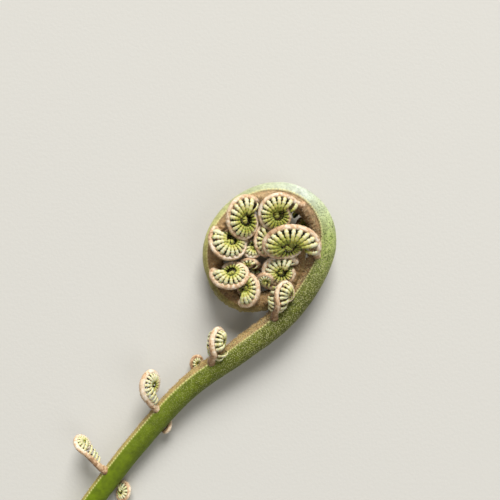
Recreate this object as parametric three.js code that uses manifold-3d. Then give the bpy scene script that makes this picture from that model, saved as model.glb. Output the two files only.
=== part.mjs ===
// The young frond of a tree fern, still rolled up: a thick stalk that curls into a coil, with
// smaller coiled leaflet stems (pinnae) in two rows along it. It was cut near its foot and lies
// on its side, so the big coil is level.
//
// Millimetres. The frond is modelled about the middle of its big coil, with that coil in the XY
// plane, and the group then sets it down on Z = 0 with the middle of its outline at X = Y = 0.
import * as THREE from "three";
import Module from "manifold-3d";

const wasm = await Module();
wasm.setup();

// Where the middle of the big coil lies in the finished part.
const COIL_CENTRE = new THREE.Vector3(42.44, 69.12, 15.5);
const GAP = 0.3; // clear space between two pieces that meet
const UP = new THREE.Vector3(0, 0, 1);

// The stem's line from the cut to where it begins to curl. It sinks to the ground at the cut.
const STALK_LINE = [
  [-121, -174, -9.3],
  [-82.5, -123, -6.6],
  [-48, -85, -4],
  [-15.6, -61.8, -1.8],
  [8, -43.5, -0.5],
  [24, -24, 0],
];
// Then come a slightly oval turn and a tighter spiral that it plunges into. Angles in degrees.
const RING = { radius: 34, oval: 2.7, ovalAxis: 40, from: -8, to: 260, step: 16 };
const SPIRAL = { radius: 17.2, tighten: 0.075, plunge: 6.2, plungeTurn: 35, from: 283, to: 613, step: 22 };
// The stem's radius at shares of its length from the cut.
const STEM_RADII = [
  [0, 6.2],
  [0.18, 6.6],
  [0.38, 6.8],
  [0.5, 6.2],
  [0.6, 5.5],
  [0.68, 4.7],
  [0.76, 3.8],
  [0.84, 3.1],
  [0.93, 2.3],
  [1, 1.5],
];
const STEM_SIDES = 12;
const STEM_STEP = 6.5; // length of one facet along the stem

// The limbs that the stem is split into, each with the share of its length where it ends.
const STEM_PIECES = [
  ["stalk_foot", 0.17],
  ["stalk_middle", 0.31],
  ["stalk_top", 0.415],
  ["coil_right", 0.495],
  ["coil_top", 0.575],
  ["coil_left", 0.645],
  ["coil_bottom", 0.715],
  ["inner_coil_bottom", 0.775],
  ["inner_coil_right", 0.83],
  ["inner_coil_top", 0.885],
  ["inner_coil_left", 0.94],
  ["inner_coil_tip", 1],
];

const WIND = 13.2; // the angle in radians through which a pinna's coil would shrink to nothing
// A coiled pinna: "at" is how far along the stem it stands, from the cut; "centre" is the middle
// of its own coil from the middle of the big one; "radius" is how far out its coil starts and
// "squeeze" makes that oval along X and Y; it coils anticlockwise seen from above, or clockwise
// where "sense" is -1; "lean" is the direction in degrees to which its face turns, and by how
// much; "leaf" is the length of its leaflets, and "spread" how far its two rows stand out. "wind"
// stands in for WIND, and "tighten" is by what share its coil closes in faster for a stretch.
// The near row faces up, from the oldest pinna near the cut to the youngest in the coil.
const NEAR_PINNAE = [
  { at: 45, centre: [-111, -117.6, -1], radius: 6, sense: -1, lean: [50, 48], leaf: 5.8 },
  {
    at: 94, centre: [-69.6, -81.2, 3], radius: 8, squeeze: [0.94, 1.12], sense: -1,
    lean: [-10, 36], leaf: 5.4,
  },
  {
    at: 135, centre: [-29.4, -55.2, 6], radius: 8, squeeze: [0.84, 1.08], sense: -1,
    lean: [0, 40], leaf: 5.6, spread: 6,
  },
  {
    at: 184, centre: [10.2, -27, 9.2], radius: 9, squeeze: [0.95, 1], sense: -1,
    lean: [0, 34], leaf: 6, spread: 4.6,
  },
  {
    at: 231, centre: [11.8, 1.6, 11.4], radius: 17.4, squeeze: [1.03, 0.76], wind: 20, tighten: 0.42,
    lean: [-80, 18], leaf: 8.4, spread: 3.6,
  },
  { at: 274, centre: [5.2, 19.4, 9.2], radius: 12.1, lean: [-60, 15], leaf: 7.6 },
  { at: 303, centre: [-13.8, 16.2, 9.9], radius: 14, squeeze: [0.84, 1], lean: [-15, 18], leaf: 8 },
  { at: 335, centre: [-22.4, 3.6, 8.6], radius: 13, squeeze: [0.94, 0.94], lean: [50, 25], leaf: 7.4 },
  { at: 361, centre: [-21.4, -14.9, 9.4], radius: 11.6, squeeze: [1, 0.82], lean: [100, 25], leaf: 6.6 },
  {
    at: 385, flank: 60, centre: [-12.8, -23.4, 8], radius: 10, squeeze: [0.86, 1.04],
    lean: [180, 26], leaf: 6.4,
  },
];
const INNER_PINNAE = [
  { at: 410, centre: [-1.4, -19.4, 7.7], radius: 5, sense: -1, lean: [180, 20], leaf: 4.4 },
  { at: 430, centre: [7.8, -14.2, 5], radius: 12, squeeze: [1, 0.8], lean: [-90, 10], leaf: 6.2 },
  { at: 463, centre: [-1, 3.8, 5.6], radius: 10.6, squeeze: [0.7, 1], lean: [0, 10], leaf: 5.6 },
  { at: 486, flank: 60, centre: [-9, 0.4, 4], radius: 6.8, lean: [60, 10], leaf: 5 },
  { at: 502, centre: [-12.2, -9.4, 3.6], radius: 5.4, squeeze: [1, 0.6], lean: [-90, 24], leaf: 3.6 },
];
// The far row faces down. Each pinna is "like" the near one of that number, but stands a little
// further back, and has its own middle and size. The lowest two sit right under the stalk.
const FAR_BACK = 8;
const FAR_PINNAE = [
  { like: 0, centre: [-88.6, -148.6, -10.6], size: 0.95, flank: 130, lean: [-34, 35] },
  { like: 1, centre: [-60.6, -111, -9.6], size: 0.48, flank: 130, lean: [-34, 30] },
  { like: 2, centre: [-43, -70.6, -10.6], size: 0.66, spread: 2.4, lean: [140, 15] },
  { like: 3, at: 182, centre: [12, -25.4, -8.6], size: 0.9, lean: [0, 16], spread: 3 },
  {
    like: 4, at: 240, centre: [22.2, 12.4, -8], squeeze: [0.78, 1], wind: WIND, tighten: 0, size: 0.39,
    lean: [-60, 10],
  },
  { like: 5, centre: [3.4, 21, -9.4], size: 0.84, lean: [-90, 6] },
  { like: 6, centre: [-14.2, 16, -9.6], size: 0.84, lean: [0, 14] },
  { like: 7, centre: [-22.8, 1.8, -8.8], size: 0.86, lean: [50, 18] },
  { like: 8, centre: [-21.6, -15.6, -8.6], size: 0.86, lean: [110, 20] },
  { like: 9, centre: [-12.4, -25, -8.4], size: 0.8 },
];
const FAR_INNER_PINNAE = [
  { like: 1, centre: [8, -13.6, -7.3], size: 0.88 },
  { like: 2, centre: [-0.4, 5, -5], size: 0.88 },
  { like: 3, centre: [-9.4, 0, -4], size: 0.8 },
  { like: 4, centre: [-7.6, -14.6, -2.4], size: 0.7 },
];

// A pinna's foot: how far up the stem's flank it stands, in degrees from level; how swollen it
// and its neck are, and where the neck is; how strongly it first leaves straight out; and the
// length of its curve's handles, as a share of its reach.
const FOOT = { flank: 48, swelling: 1.7, neck: 1.15, neckAt: -0.72, lift: 1, handle: 0.35 };
const TIGHTENING = { start: 3.2, stop: 5 }; // where on its coil a pinna closes in faster, in radians
const TURNS = 1.15; // how far its solid follows that coil
const NEARBY = 0.02;
const NEAREST_FOOT = 0.98; // a foot inside its coil is taken as just outside it, at this cosine
// How far a row of leaflets stands out, unless the tables say: the larger of these two shares,
// of the pinna's radius and of its leaflets' length.
const SPREAD = { ofRadius: 0.27, ofLeaf: 0.42 };
const RIB = { least: 0.5, share: 0.06, sides: 6, thinning: 0.6, nearFace: 1, farFace: 4 };
// Leaflets: how many a side in each turn, on big and on small pinnae; how far they bow over and
// where they are widest, in radians; what a bow reaches and how it slants, as shares of their
// length; and how much of the rib they take up, their width and thickness, as shares of spacing.
const LEAFLET = {
  many: 10,
  few: 8,
  fewBelow: 8,
  bend: 2.1,
  widest: 1.2,
  reach: 1.5,
  slant: 0.1,
  shrink: 0.8,
  fill: 0.62,
  width: 0.3,
  thickness: 0.2,
};

const degrees = (a) => (a * Math.PI) / 180;
const moved = (p, ...steps) => {
  const q = p.clone();
  for (const [direction, distance] of steps) q.addScaledVector(direction, distance);
  return q;
};

function geometryOf(points, index) {
  const geometry = new THREE.BufferGeometry().setFromPoints(points);
  return geometry.setIndex(index);
}

function manifoldOf(geometry) {
  const vertProperties = new Float32Array(geometry.attributes.position.array);
  const triVerts = new Uint32Array(geometry.index.array);
  return new wasm.Manifold(new wasm.Mesh({ numProp: 3, vertProperties, triVerts }));
}

// A ring of points about p, in the plane of the unit vectors u and v.
function ring(p, u, v, radius, sides) {
  const point = (_, j) => {
    const a = (2 * Math.PI * j) / sides;
    return moved(p, [u, radius * Math.cos(a)], [v, radius * Math.sin(a)]);
  };
  return Array.from({ length: sides }, point);
}

// A closed skin over rings of points, with flat ends. "grow" may grow something out of a face:
// it gets the points, the faces and the face's four corners, and says whether it did.
function skin(rings, grow = () => false) {
  const sides = rings[0].length;
  const points = rings.flat();
  const index = [];
  for (let step = 0; step + 1 < rings.length; step++)
    for (let side = 0; side < sides; side++) {
      const a = step * sides + side;
      const b = step * sides + ((side + 1) % sides);
      const corners = [a, b, b + sides, a + sides];
      if (!grow(points, index, corners, step, side)) index.push(a, b, b + sides, a, b + sides, a + sides);
    }
  const last = (rings.length - 1) * sides;
  for (let j = 1; j + 1 < sides; j++) {
    index.push(0, j + 1, j);
    index.push(last, last + j, last + j + 1);
  }
  return geometryOf(points, index);
}

function stemCurve() {
  const points = STALK_LINE.map((p) => new THREE.Vector3(...p));
  const add = (angle, radius) => {
    const a = degrees(angle);
    points.push(new THREE.Vector3(radius * Math.cos(a), radius * Math.sin(a), 0));
  };
  for (let a = RING.from; a <= RING.to; a += RING.step)
    add(a, RING.radius + RING.oval * Math.cos(2 * degrees(a - RING.ovalAxis)));
  for (let a = SPIRAL.from; a <= SPIRAL.to; a += SPIRAL.step) {
    const spiral = SPIRAL.radius * Math.exp(-SPIRAL.tighten * degrees(a - 360));
    add(a, spiral + SPIRAL.plunge * Math.exp(-(a - 300) / SPIRAL.plungeTurn));
  }
  const curve = new THREE.CatmullRomCurve3(points, false, "centripetal");
  curve.arcLengthDivisions = 2000;
  return curve;
}

const stem = stemCurve();
const stemLength = stem.getLength();

function stemRadius(share) {
  const i = Math.max(1, STEM_RADII.findIndex(([s]) => s >= share));
  const [s0, r0] = STEM_RADII[i - 1];
  const [s1, r1] = STEM_RADII[i];
  return THREE.MathUtils.mapLinear(share, s0, s1, r0, r1);
}

// The stem's frame at a share of its length: inner points to the hollow side of the coil.
function stemFrame(share) {
  const point = stem.getPointAt(share);
  const along = stem.getTangentAt(share);
  const inner = UP.clone().cross(along).normalize();
  const up = along.clone().cross(inner);
  return { point, along, inner, up, radius: stemRadius(share) };
}

function stemGeometry(from, to, grow = 0) {
  const steps = Math.max(2, Math.round(((to - from) * stemLength) / STEM_STEP));
  const rings = [];
  for (let i = 0; i <= steps; i++) {
    const f = stemFrame(THREE.MathUtils.lerp(from, to, i / steps));
    rings.push(ring(f.point, f.inner, f.up, f.radius + grow, STEM_SIDES));
  }
  return skin(rings);
}

// The line of a pinna's rib: a stalk from its foot on the stem, and then its own coil, which the
// stalk runs into. Negative places are on the stalk, from -1 at the foot; the rest are turns of
// the coil in radians. NEARBY is a small step along it.
function pinnaLine(spec) {
  const foot = stemFrame(spec.at / stemLength);
  const flank = degrees(spec.flank);
  const origin = new THREE.Vector3();
  const outward = moved(origin, [foot.inner, Math.cos(flank)], [foot.up, spec.side * Math.sin(flank)]);
  const base = moved(foot.point, [outward, foot.radius + GAP]);

  const [leanTo, leanBy] = spec.lean.map(degrees);
  const normal = new THREE.Vector3(
    Math.sin(leanBy) * Math.cos(leanTo),
    Math.sin(leanBy) * Math.sin(leanTo),
    spec.side * Math.cos(leanBy),
  );
  const centre = new THREE.Vector3(...spec.centre);
  const [squeezeX, squeezeY] = spec.squeeze;
  const unitX = moved(new THREE.Vector3(1, 0, 0), [normal, -normal.x]).normalize();
  const unitY = normal.clone().cross(unitX).multiplyScalar(spec.side);

  const offset = base.clone().sub(centre);
  const baseX = offset.dot(unitX) / squeezeX;
  const baseY = offset.dot(unitY) / squeezeY;
  const tangent = Math.acos(Math.min(NEAREST_FOOT, spec.radius / Math.hypot(baseX, baseY)));
  const start = Math.atan2(baseY, baseX) + spec.sense * tangent;
  const shrunk = (turn) => {
    const closing = spec.tighten * THREE.MathUtils.smoothstep(turn, TIGHTENING.start, TIGHTENING.stop);
    return (1 - turn / spec.wind) * (1 - closing);
  };
  const coil = (turn) => {
    const r = spec.radius * shrunk(turn);
    const a = start + spec.sense * turn;
    return moved(centre, [unitX, squeezeX * r * Math.cos(a)], [unitY, squeezeY * r * Math.sin(a)]);
  };

  const first = coil(0);
  const entry = coil(NEARBY).sub(first).normalize();
  const reach = first.distanceTo(base);
  const leave = moved(first.clone().sub(base).normalize(), [outward, FOOT.lift]).normalize();
  const handle = FOOT.handle * reach;
  const afterBase = moved(base, [leave, handle]);
  const beforeFirst = moved(first, [entry, -handle]);
  const stalk = new THREE.CubicBezierCurve3(base, afterBase, beforeFirst, first);

  const point = (place) => (place < 0 ? stalk.getPoint(place + 1) : coil(place));
  const frame = (place) => {
    const ahead = point(place < 0 ? Math.min(place + NEARBY, -Number.EPSILON) : place + NEARBY);
    const behind = point(Math.max(place - NEARBY, place < 0 ? -1 : 0));
    const along = ahead.sub(behind).normalize();
    const across = moved(normal, [along, -normal.dot(along)]).normalize();
    const sideways = across.clone().cross(along);
    const inward = sideways.clone().multiplyScalar(spec.sense * spec.side);
    return { point: point(place), along, across, sideways, inward, scale: shrunk(Math.max(0, place)) };
  };
  return { frame, outward, base, reach };
}

// The rings of a pinna's rib and their places. The steps between them are by turns short gaps
// and leafy stretches.
function pinnaRings(spec, line) {
  const spacing = (2 * Math.PI * spec.radius) / spec.leaflets;
  const stalkPairs = Math.max(1, Math.round((line.reach * -FOOT.neckAt) / spacing));
  const coilPairs = Math.round(TURNS * spec.leaflets);
  const turn = (2 * Math.PI) / spec.leaflets;
  const bare = 1 - LEAFLET.fill;
  const places = [];
  for (let i = 0; i < stalkPairs; i++)
    places.push(FOOT.neckAt * (1 - i / stalkPairs), FOOT.neckAt * (1 - (i + bare) / stalkPairs));
  places.push(0);
  for (let i = 0; i < coilPairs; i++) places.push((i + bare) * turn, (i + 1) * turn);

  const thickness = RIB.least + RIB.share * spec.radius;
  const rings = places.map((place, i) => {
    const f = line.frame(place);
    const r = thickness * Math.pow(f.scale, RIB.thinning) * (i ? 1 : FOOT.neck);
    return ring(f.point, f.sideways, f.across, r, RIB.sides);
  });
  const { sideways } = line.frame(FOOT.neckAt);
  const u = moved(sideways, [line.outward, -sideways.dot(line.outward)]).normalize();
  rings.unshift(ring(line.base, u, line.outward.clone().cross(u), thickness * FOOT.swelling, RIB.sides));
  return { rings, places: [-1, ...places], spacing };
}

// A leaflet halfway along a step of the rib: it rises to one side and bows over towards the
// coil's middle. Its four middle corners are in the order of the rib's face that it grows from.
function leafletAt(spec, line, place, spacing, row) {
  const f = line.frame(place);
  const size = Math.pow(f.scale, LEAFLET.shrink);
  const at = (angle) =>
    moved(
      f.point,
      [f.across, row * spec.spread * size * Math.sin(angle)],
      [f.inward, (spec.leaf * size * (1 - Math.cos(angle))) / LEAFLET.reach],
      [f.along, LEAFLET.slant * spec.leaf * size * angle],
    );
  const out = at(LEAFLET.widest + NEARBY).sub(at(LEAFLET.widest - NEARBY));
  const thin = moved(out, [f.along, -out.dot(f.along)]).normalize().cross(f.along);
  const corner = (a, t, extra) =>
    moved(
      at(LEAFLET.widest),
      [f.along, a * (LEAFLET.width * spacing * f.scale + extra)],
      [thin, t * (LEAFLET.thickness * spacing * f.scale + extra)],
    );
  const around = [[-1, 1], [-1, -1], [1, -1], [1, 1]];
  const middle = (extra = 0) => around.map(([a, t]) => corner(a, t, extra));
  return { middle, root: f.point, waist: at(LEAFLET.widest), tip: at(LEAFLET.bend) };
}

// The room that a leaflet takes up from a start to its tip, with clear space round its middle.
function leafletRoom({ middle, tip }, start) {
  const index = [];
  for (let k = 0; k < 4; k++) {
    const next = (k + 1) % 4;
    index.push(next, k, 4, k, next, 5);
  }
  return manifoldOf(geometryOf([...middle(GAP / 2), start, tip], index));
}

// A pinna's skin: a leaflet grows from each leafy face of its rib that "allowed" has room for.
function pinnaGeometry(spec, line, allowed) {
  const { rings, places, spacing } = pinnaRings(spec, line);
  const rows = { [RIB.nearFace]: 1, [RIB.farFace]: -1 };
  return skin(rings, (points, index, corners, step, side) => {
    const row = rows[side];
    const leafy = step > 1 && step % 2 === 0;
    if (!row || !leafy) return false;
    const leaflet = leafletAt(spec, line, (places[step] + places[step + 1]) / 2, spacing, row);
    if (!allowed(leaflet)) return false;
    const m = points.length;
    points.push(...leaflet.middle(), leaflet.tip);
    for (let k = 0; k < 4; k++) {
      const next = (k + 1) % 4;
      index.push(corners[k], corners[next], m + next, corners[k], m + next, m + k);
      index.push(m + k, m + next, m + 4);
    }
    return true;
  });
}

const named = (row, name) => row.map((spec, i) => ({ ...spec, name: `${name}_${i + 1}` }));

const nearRow = (row) => row.map((spec) => ({ ...spec, side: 1 }));

const farRow = (row, changes) =>
  changes.map(({ like, size, ...change }) => {
    const { flank, spread, ...near } = row[like];
    const sized = { radius: near.radius * size, leaf: near.leaf * size, spread: spread && spread * size };
    return { ...near, ...sized, at: near.at - FAR_BACK, side: -1, ...change };
  });

function allPinnae() {
  const specs = [
    ...named(nearRow(NEAR_PINNAE), "pinna_near"),
    ...named(nearRow(INNER_PINNAE), "pinna_inner_near"),
    ...named(farRow(NEAR_PINNAE, FAR_PINNAE), "pinna_far"),
    ...named(farRow(INNER_PINNAE, FAR_INNER_PINNAE), "pinna_inner_far"),
  ];
  return specs.map((spec) => ({
    sense: 1,
    squeeze: [1, 1],
    wind: WIND,
    tighten: 0,
    flank: FOOT.flank,
    ...spec,
    spread: spec.spread ?? Math.max(SPREAD.ofRadius * spec.radius, SPREAD.ofLeaf * spec.leaf),
    leaflets: spec.radius < LEAFLET.fewBelow ? LEAFLET.few : LEAFLET.many,
  }));
}

const COLOURS = { stalk: 0x8a9a4e, coil: 0x9aa56a, inner: 0xa58561, pinna: 0xcdbf94 };

const frond = new THREE.Group();
frond.name = "fern_crozier";
frond.position.copy(COIL_CENTRE);

function addPiece(name, geometry, color) {
  const material = new THREE.MeshStandardMaterial({ color, roughness: 0.8, metalness: 0 });
  const mesh = new THREE.Mesh(geometry, material);
  mesh.name = name;
  frond.add(mesh);
}

function addStem() {
  const gap = GAP / stemLength / 2;
  let from = 0;
  for (const [name, to] of STEM_PIECES) {
    const geometry = stemGeometry(from && from + gap, to < 1 ? to - gap : 1);
    addPiece(name, geometry, COLOURS[name.split("_")[0]]);
    from = to;
  }
}

// Each pinna's leaflets keep clear of the stem, of every pinna's rib apart from their own roots,
// and of the leaflets before them.
function addPinnae() {
  const specs = allPinnae();
  const lines = specs.map(pinnaLine);
  const ribs = specs.map((spec, i) => manifoldOf(pinnaGeometry(spec, lines[i], () => false)));
  let grown = manifoldOf(stemGeometry(0, 1, GAP));
  specs.forEach((spec, i) => {
    let taken = ribs.filter((_, j) => j !== i).reduce((sum, rib) => sum.add(rib), grown);
    const geometry = pinnaGeometry(spec, lines[i], (leaflet) => {
      const whole = leafletRoom(leaflet, leaflet.root);
      const outer = leafletRoom(leaflet, leaflet.waist);
      const free = whole.intersect(taken).isEmpty() && outer.intersect(ribs[i]).isEmpty();
      if (free) taken = taken.add(whole);
      return free;
    });
    grown = grown.add(manifoldOf(geometry));
    addPiece(spec.name, geometry, COLOURS.pinna);
  });
}

addStem();
addPinnae();

export default frond;
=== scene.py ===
"""The looks of a tree fern's young frond, still rolled up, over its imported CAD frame.

The frond grows here by the same rule as its solids, carried to finer detail: one skin for the
whole stem, and on each pinna a woolly rib that coils on to its middle, with two rows of finely
lobed pinnules that bow over and curl under. Lengths are in millimetres about the middle of the
big coil, until the meshes are made.
"""

import math
from types import SimpleNamespace as Values

import bpy
import numpy as np
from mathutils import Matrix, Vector


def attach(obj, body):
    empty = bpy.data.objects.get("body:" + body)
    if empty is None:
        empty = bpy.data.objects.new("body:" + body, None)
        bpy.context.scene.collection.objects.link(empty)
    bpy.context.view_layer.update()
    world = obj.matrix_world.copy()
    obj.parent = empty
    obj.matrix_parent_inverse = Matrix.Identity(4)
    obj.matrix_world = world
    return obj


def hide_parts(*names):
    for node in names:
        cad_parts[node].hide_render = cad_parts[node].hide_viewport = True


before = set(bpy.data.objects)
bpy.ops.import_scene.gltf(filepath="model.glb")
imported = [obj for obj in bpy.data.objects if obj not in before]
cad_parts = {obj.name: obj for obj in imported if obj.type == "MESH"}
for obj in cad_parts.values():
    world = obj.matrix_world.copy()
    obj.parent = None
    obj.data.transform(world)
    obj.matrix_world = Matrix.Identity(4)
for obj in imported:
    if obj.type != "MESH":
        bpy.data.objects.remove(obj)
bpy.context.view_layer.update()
MM = 0.001
rng = np.random.default_rng(7)

# The frond's lines, as in its solids.
COIL_CENTRE = np.array([42.44, 69.12, 15.5])
GAP = 0.3  # from a solid pinna's foot to the stem
UP = np.array([0.0, 0.0, 1.0])
# The stalk, and the ring and the spiral that it goes on into, with angles in degrees.
STALK_LINE = [
    (-121, -174, -9.3), (-82.5, -123, -6.6), (-48, -85, -4), (-15.6, -61.8, -1.8),
    (8, -43.5, -0.5), (24, -24, 0),
]
RING = Values(radius=34, oval=2.7, oval_axis=40, start=-8, stop=260, step=16)
SPIRAL = Values(
    radius=17.2, tighten=0.075, plunge=6.2, plunge_from=300, plunge_turn=35, start=283, stop=613,
    step=22,
)
# The stem's radius at shares of its length, and over how many millimetres its tip is rounded.
STEM_RADII = [
    (0, 6.2), (0.18, 6.6), (0.38, 6.8), (0.5, 6.2), (0.6, 5.5), (0.68, 4.7), (0.76, 3.8),
    (0.84, 3.1), (0.93, 2.3), (1, 1.5),
]
STEM_ROUNDING = 2.2

WIND = 13.2  # the angle in radians through which a pinna's coil would shrink to nothing
# What a pinna's row leaves out: how far round the stem its foot is, in degrees, and how steeply its
# stalk leaves it; how its coil is squeezed, turns and winds in, by what share faster and where, in
# radians, and where it closes in on its middle; at what share of its radius the outer pinnules end;
# how far its stalk is twisted, in degrees; and how much thicker its rib is, and paler, in tones.
PINNA = dict(
    flank=48, lift=1, squeeze=(1, 1), sense=1, wind=WIND, tighten=(0, 0, 1), closing=(5.2, 7.3),
    hub=0.36, twist=0, thick=1, pale=0,
)
# The pinnae, close to their solids: how far along the stem each stands; the middle and radius of
# its coil; where to and how far its face leans, in degrees; its leaflets' length and spread; and
# "lime", how far they have turned from cream to lime.
NEAR_PINNAE = [
    dict(at=45, flank=34, thick=1.15, centre=(-111, -117.6, -1), radius=6.2, sense=-1,
         lean=(46, 72), leaf=6.4, spread=2.2, lime=0, pale=1.3),
    dict(at=94, flank=36, thick=1.4, centre=(-69.6, -81.2, 3), radius=8, squeeze=(0.94, 1.12),
         sense=-1, lean=(0, 50), leaf=5.4, spread=2.8, lime=0.1, pale=1.2),
    dict(at=137, flank=44, thick=1.4, centre=(-29.4, -55.2, 6), radius=8, squeeze=(0.84, 1.08),
         sense=-1, lean=(0, 54), leaf=5.6, spread=6, lime=0.1, pale=0.9),
    dict(at=184, centre=(11.4, -27.4, 10.2), radius=9, squeeze=(0.95, 1), sense=-1,
         tighten=(0.38, 1.4, 3.2), lean=(0, 34), twist=48, leaf=6, spread=5.6, lime=0.3, pale=0.6),
    dict(at=231, centre=(12, 0.8, 11.4), radius=17.4, squeeze=(0.98, 0.73), wind=20,
         tighten=(0.4, 3, 4.9), hub=0.26, closing=(5.8, 7.4), lean=(-80, 18), leaf=8.4, spread=3.6,
         lime=0.62),
    dict(at=270, centre=(5.2, 19.4, 9.2), radius=12.1, lean=(-60, 15), leaf=7.6, lime=0.6),
    dict(at=303, centre=(-13.8, 16.2, 9.9), radius=14, squeeze=(0.84, 1), lean=(-15, 18), leaf=8,
         lime=0.5),
    dict(at=335, centre=(-22.4, 3.6, 8.6), radius=13, squeeze=(0.94, 0.94), lean=(50, 25), leaf=7.4,
         lime=0.35),
    dict(at=361, thick=1.25, centre=(-21.4, -14.9, 9.4), radius=11.6, squeeze=(1, 0.82),
         lean=(100, 25), leaf=6.6, lime=0.3),
    dict(at=385, flank=60, thick=1.2, centre=(-12.8, -23.4, 8), radius=10, squeeze=(0.86, 1.04),
         lean=(180, 26), leaf=6.4, lime=0.5),
]
INNER_PINNAE = [
    dict(at=410, thick=1.2, centre=(-1.2, -18.6, 7.7), radius=5, sense=-1, lean=(-110, 45), leaf=4.4,
         lime=0.3),
    dict(at=430, flank=24, lift=0.2, thick=1.3, centre=(7.8, -14.2, 5), radius=12,
         squeeze=(1, 0.8), lean=(-90, 10), leaf=6.2, lime=0.3),
    dict(at=463, centre=(-1, 3.8, 5.6), radius=10.6, squeeze=(0.7, 1), lean=(0, 10), leaf=5.6,
         lime=0.3),
    dict(at=486, flank=60, centre=(-9, 0.4, 4), radius=6.8, lean=(60, 10), leaf=5, lime=0.3),
    dict(at=502, centre=(-12.2, -9.4, 3.6), radius=5.4, squeeze=(1, 0.6), lean=(-90, 24), leaf=3.6,
         lime=0.3),
]
# Each far pinna is like the near one of that number, from 0, but this far back along the stem and
# smaller by "size", and otherwise as its row says.
FAR_BACK = 8
FAR_PINNAE = [
    dict(like=0, centre=(-89.4, -150.4, -10.6), size=0.95, flank=130, lean=(-34, 35)),
    dict(like=1, centre=(-62.4, -109.6, -9.6), size=0.55, flank=130, spread=2.4, lean=(-34, 50)),
    dict(like=2, centre=(-43, -70.6, -10.6), size=0.66, spread=2.4, lean=(140, 15)),
    dict(like=3, at=182, centre=(12, -25.4, -8.6), size=0.9, lean=(0, 16), spread=3),
    dict(like=4, at=240, centre=(22.2, 12.4, -8), squeeze=(0.78, 1), wind=WIND,
         tighten=(0, 0, 1), size=0.39, lean=(-60, 10)),
    dict(like=5, centre=(3.4, 21, -9.4), size=0.84, lean=(-90, 6)),
    dict(like=6, centre=(-14.2, 16, -9.6), size=0.84, lean=(0, 14)),
    dict(like=7, centre=(-22.8, 1.8, -8.8), size=0.86, lean=(50, 18)),
    dict(like=8, centre=(-21.6, -15.6, -8.6), size=0.86, lean=(110, 20)),
    dict(like=9, centre=(-12.4, -25, -8.4), size=0.8),
]
FAR_INNER_PINNAE = [
    dict(like=1, centre=(8, -13.6, -7.3), size=0.88),
    dict(like=2, centre=(-0.4, 5, -5), size=0.88),
    dict(like=3, centre=(-9.4, 0, -4), size=0.8),
    dict(like=4, centre=(-7.6, -14.6, -2.4), size=0.7),
]
# A pinna's foot: how much it swells, up to a radius, and tapers off; for what share of its length
# the stalk keeps its direction at both ends; and its root, sunk in the stem and wider.
FOOT = Values(swelling=1.2, radius=2.4, taper=0.35, handle=0.35, sunk=1.6, root=1.15)
# By what shares of its radius a coil closes in and its middle rises, and where past its closing.
CLOSING = Values(share=0.5, rise=0.12, rising=(-0.6, 1.4))
# A rib's radius: a least, and a share of its coil's; how fast it thins with the coil; and over how
# many radians its end is rounded.
RIB = Values(least=0.85, share=0.06, thinning=0.6, rounding=0.5)
SPREAD = Values(of_radius=0.27, of_leaf=0.42)  # a pinnule's spread is the larger, if not given
TWISTED = (1.5, -0.4)  # going back along a stalk, where its twist sets in, and where it is full

# Finer than the solids: the sides of the stem and the ribs, and the millimetres from ring to ring.
STEM_SIDES = 80
STEM_STEP = 0.45
RIB_SIDES = 12
RIB_STEP = 0.55
LINE_STEPS = 60  # to each stretch of the stem's line
TURNS = 1.95  # how far each rib follows its coil
# The fine places that a rib's rings are picked from, and to what share their steps may shrink.
RIB_PLACES = Values(on_stalk=120, on_coil=600, least_step=0.35)
NEARBY = 0.02  # to either side of a place on a pinna, for its direction
NEARBY_ON_STEM = 0.5
# A pinna's hub: how many radians before the coil has closed the rib turns green, and the pinnules
# reach for the middle and are wider; how much wider; how many a turn has; and their share of the
# way in, and their tone.
HUB = Values(
    toned_before=1.6, reaching_before=0.8, wide_before=0.1, wider=2.8, in_turn=9, reach=0.8,
    tone=3.6,
)
# The pinnules: their spacing on the outer turn, which grows with the coil; where on the stalk they
# begin; how far they bow over and curl under, in radians, and how widely for their length; how far
# they lean along the rib; how they shorten with the coil and lengthen along the stalk; and their
# section, as shares of the spacing.
PINNULE = Values(
    spacing=1.6, spacing_share=0.2, most_spacing=4.6, shift=0.02, first=-0.72, bow=2.1, curl=2.2,
    bowed=0.8, reach=1.5, curl_radius=0.15, slant=0.2, most_slant=0.7, nearest=0.3, shrink=0.8,
    least=0.3, stalk=(0.5, 0.4, -0.8, -0.1), lengths=(0.94, 1.06), widths=(0.92, 1.08), width=0.36,
    thickness=0.22, hollow=0.45, foot=(0.35, 0.6), sides=8,
)
# A pinnule's outline, at shares of its length: its foot, its widest place and its rounded tip.
OUTLINE = Values(foot=0.72, widest=0.25, narrower=0.36, narrows=0.35, rounding=0.07, least=0.04)
# Lobes along both edges of a pinnule: how many to a millimetre of leaf, the rings of points to
# each and in all, and how deep the notches are, in width and in thickness.
LOBES = Values(per_mm=0.75, points=3, rings=(10, 20), depth=0.3, thinner=0.3)
# Which pinnules are left out: those that, past the rings at their foot, come into the stem or into
# a share of another rib's radius, probed at steps, or come out of the big coil's ring, if their
# pinna's middle is that near the coil's.
CLEAR = Values(foot_rings=2, in_ring=27, past_ring=1, step=1.0, rib_share=0.5)

# Colours as they look, from 0 to 1.
PINNULE_TONES = [
    (0.84, 0.83, 0.67),
    (0.81, 0.78, 0.55),
    (0.77, 0.75, 0.45),
    (0.74, 0.73, 0.37),
    (0.64, 0.64, 0.25),
    (0.52, 0.54, 0.17),
]
# The pinnules' undersides: their green darkened as painted shade, so that the gaps between pinnules
# look dark.
SHADED_UNDERSIDE_TONE = (0.16, 0.20, 0.07)
PINNULE_FOOT_TONE = (0.72, 0.56, 0.38)
PINNULE_SHADED_UNDERSIDE = len(PINNULE_TONES)
PINNULE_FOOT = PINNULE_SHADED_UNDERSIDE + 1
RIB_TONES = [
    (0.92, 0.86, 0.77),
    (0.88, 0.78, 0.65),
    (0.80, 0.66, 0.51),
    (0.66, 0.51, 0.36),
    (0.53, 0.38, 0.25),
]
HUB_RIB_TONE = (0.36, 0.38, 0.14)
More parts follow.
